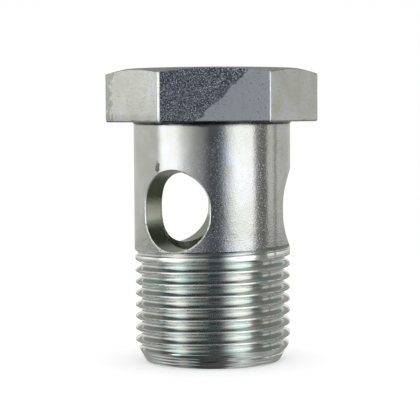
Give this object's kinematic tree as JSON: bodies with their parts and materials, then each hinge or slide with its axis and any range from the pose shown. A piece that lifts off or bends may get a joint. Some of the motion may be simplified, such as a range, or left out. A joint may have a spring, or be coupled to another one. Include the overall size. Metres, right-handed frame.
{
  "type": "banjo bolt",
  "caption": "Hollow banjo bolt: hexagon head, plain shank with radial ports into a blind axial bore, fine right-hand thread with a chamfered end. Zinc-plated steel.",
  "frame": {"origin": "centre of the flat end face of the thread, on the bolt's axis", "axes": "+Z runs along the bolt's axis from the threaded end to the hexagon head; one port and one corner of the hexagon face +X"},
  "size_m": [0.0366, 0.0318, 0.0503],
  "materials": {
    "zinc_plated_steel": "bright zinc plating, lightly speckled"
  },
  "bodies": {
    "root": {"banjo_bolt": "zinc_plated_steel"}
  },
  "joints": []
}
